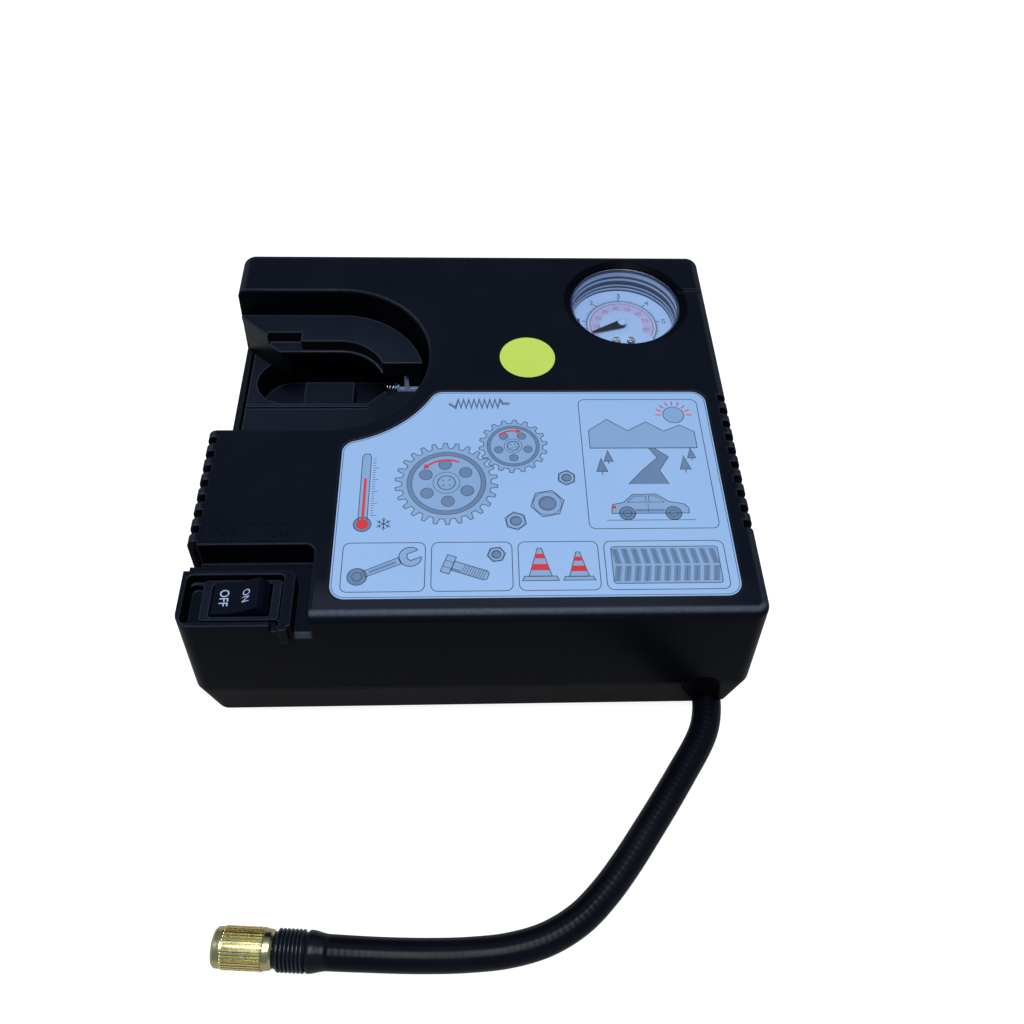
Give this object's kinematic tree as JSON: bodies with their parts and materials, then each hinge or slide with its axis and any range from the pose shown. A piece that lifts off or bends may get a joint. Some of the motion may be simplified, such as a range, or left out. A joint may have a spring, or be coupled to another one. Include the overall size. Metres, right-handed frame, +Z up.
{
  "type": "tyre inflator",
  "caption": "Low square 12 V tyre inflator with a round pressure gauge, a rocker switch, an open dock for a bottle, and an air hose with a screw-on brass valve coupling.",
  "frame": {"origin": "on the surface that the feet stand on, under the middle of the case", "axes": "+Z up; the switch and the hose are on the -Y side; +X is to the right, where the gauge and the hose's root are"},
  "size_m": [0.1916, 0.2627, 0.0721],
  "materials": {
    "case_black": "satin",
    "case_dark": "fine texture",
    "black_rubber": "matt",
    "steel": "plain",
    "bright_steel": "polished",
    "brass": "turned",
    "alloy": "die cast",
    "copper": "drawn",
    "dial_white": "printed",
    "label_blue": "printed film",
    "sticker_yellow": "printed film",
    "clear_plastic": "clear moulded",
    "pointer_black": "matt",
    "catch_blue": "moulded",
    "seal_white": "moulded",
    "wire_red": "insulated wire",
    "dark_iron": "sintered"
  },
  "bodies": {
    "case": {"upper_shell": "case_black", "lower_shell": "case_dark", "feet": "black_rubber", "case_screws": "steel", "power_gland": "black_rubber", "dock_floor": "case_black", "dock_ledge": "case_black", "catch_spring": "steel", "label_plate": "label_blue", "round_sticker": "sticker_yellow", "gauge_can": "dark_iron", "gauge_lens": "clear_plastic", "gauge_dial": "dial_white", "dial_screws": "bright_steel", "movement_plates": "brass", "bourdon_tube": "copper", "bourdon_link": "brass", "gauge_stem": "brass", "gauge_tube": "black_rubber", "switch_body": "pointer_black", "switch_terminals": "steel", "wiring": "wire_red", "motor_can": "steel", "motor_end_cap": "pointer_black", "motor_magnets": "dark_iron", "motor_brushes": "dark_iron", "motor_bushings": "brass", "motor_dampers": "black_rubber", "pump_body": "alloy", "pump_screws": "steel", "crank_bearing": "brass", "cylinder": "alloy", "valve_plate": "steel", "cylinder_head": "alloy", "head_screws": "steel", "outlet_tube": "black_rubber", "air_manifold": "alloy", "hose_barb": "brass", "air_hose": "black_rubber", "hose_sleeve": "black_rubber", "hose_binding": "steel", "coupling_stem": "brass", "coupling_seal": "black_rubber"},
    "rocker": {"switch_rocker": "pointer_black"},
    "nut": {"coupling_nut": "brass"},
    "catch": {"bottle_catch": "catch_blue"},
    "sector": {"sector_gear": "brass"},
    "pointer": {"gauge_pointer": "pointer_black", "pointer_cap": "dial_white", "pointer_arbor": "brass"},
    "crank": {"crank_gear": "alloy", "crank_axle": "steel", "crank_pin": "steel"},
    "armature": {"motor_shaft": "steel", "motor_core": "copper", "commutator": "copper", "motor_pinion": "brass"},
    "piston": {"connecting_rod": "alloy", "piston_seal": "seal_white"}
  },
  "joints": [
    {"name": "rocker_tilt", "type": "hinge", "parent": "case", "child": "rocker", "pos_m": [-0.0746, -0.0746, 0.0625], "axis": [0, 1, 0], "range_deg": [0, 28]},
    {"name": "nut_spin", "type": "hinge", "parent": "case", "child": "nut", "pos_m": [-0.047, -0.1678, 0.0065], "axis": [-0.9976, 0.0698, 0], "continuous": true},
    {"name": "catch_slide", "type": "slide", "parent": "case", "child": "catch", "axis": [-1, 0, 0], "range_m": [0, 0.002], "stiffness_N_per_m": 60, "deforming": ["catch_spring"]},
    {"name": "crank_spin", "type": "hinge", "parent": "case", "child": "crank", "pos_m": [0.013, -0.018, 0.0456], "axis": [1, 0, 0], "continuous": true},
    {"name": "motor_spin", "type": "hinge", "parent": "case", "child": "armature", "pos_m": [0.013, -0.045, 0.0456], "axis": [1, 0, 0], "continuous": true},
    {"name": "piston_slide", "type": "slide", "parent": "case", "child": "piston", "axis": [0, 1, 0], "range_m": [0, 0.014]},
    {"name": "sector_swing", "type": "hinge", "parent": "case", "child": "sector", "pos_m": [0.07286, 0.04673, 0.052], "axis": [0, 0, 1], "range_deg": [0, 29]},
    {"name": "pointer_turn", "type": "hinge", "parent": "case", "child": "pointer", "pos_m": [0.0608, 0.05685, 0.06], "axis": [0, 0, 1], "range_deg": [-232, 0]}
  ],
  "couplings": [
    {"joint": "motor_spin", "follows": "crank_spin", "ratio": -4},
    {"joint": "pointer_turn", "follows": "sector_swing", "ratio": -8}
  ]
}
